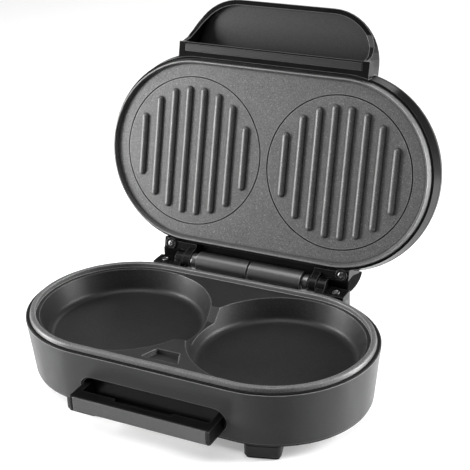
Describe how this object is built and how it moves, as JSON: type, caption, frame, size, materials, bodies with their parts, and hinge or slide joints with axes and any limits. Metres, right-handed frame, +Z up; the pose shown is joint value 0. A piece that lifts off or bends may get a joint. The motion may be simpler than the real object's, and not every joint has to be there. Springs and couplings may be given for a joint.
{
  "type": "breakfast sandwich maker",
  "caption": "Tabletop breakfast maker with two round cooking wells joined by a saddle, a ribbed hinged lid standing open, and scoop and bar handles at the front.",
  "frame": {"origin": "middle of the base between its two wells, on the worktop under the foot pads", "axes": "+X to the right along both wells, +Y from the handles to the hinge, +Z up; the lid stands open"},
  "size_m": [0.2598, 0.2414, 0.2349],
  "materials": {
    "base_paint": "satin gunmetal lacquer",
    "plate_coating": "speckled grey non-stick coating",
    "well_coating": "dark grey non-stick coating",
    "gloss_black": "polished black phenolic",
    "matte_black": "fine-grained black",
    "rubber": "matte",
    "band": "satin grey",
    "strip": "satin dark grey",
    "barrel": "satin",
    "collar": "darkened, satin",
    "steel": "zinc plated",
    "dark_screw": "black oxide",
    "heater_steel": "dull",
    "reflector": "bright sheet",
    "ceramic": "glazed white",
    "red_lens": "clear red",
    "green_lens": "clear green"
  },
  "bodies": {
    "base": {"base_shell": "base_paint", "bottom_cover": "matte_black", "base_rim": "plate_coating", "rim_gasket": "rubber", "lower_plate": "well_coating", "lower_heaters": "heater_steel", "lower_reflector": "reflector", "thermostat": "steel", "lower_fuse": "ceramic", "terminal_block": "ceramic", "plate_screws": "steel", "cover_screws": "steel", "feet": "matte_black", "foot_pads": "rubber", "base_handle": "gloss_black", "base_handle_band": "band", "hinge_barrel_left": "barrel", "hinge_barrel_right": "barrel", "hinge_bracket_left": "matte_black", "hinge_bracket_right": "matte_black", "hinge_collar_left": "collar", "hinge_collar_right": "collar", "hinge_pin_left": "steel", "hinge_pin_right": "steel", "bracket_screws": "dark_screw", "cord_bush": "rubber"},
    "lid": {"lid_shell": "gloss_black", "lid_frame": "matte_black", "upper_plate": "plate_coating", "upper_heaters": "heater_steel", "upper_reflector": "reflector", "upper_fuse": "ceramic", "upper_plate_screws": "steel", "lid_handle": "gloss_black", "lid_handle_bar": "gloss_black", "lid_handle_strip": "strip", "hinge_arm_left": "matte_black", "hinge_arm_right": "matte_black", "arm_screws": "dark_screw", "lamp_holder": "ceramic", "power_lamp_lens": "red_lens", "ready_lamp_lens": "green_lens"}
  },
  "joints": [
    {"name": "lid_hinge", "type": "hinge", "parent": "base", "child": "lid", "pos_m": [0, 0.0813, 0.052], "axis": [1, 0, 0], "range_deg": [0, 104]}
  ]
}
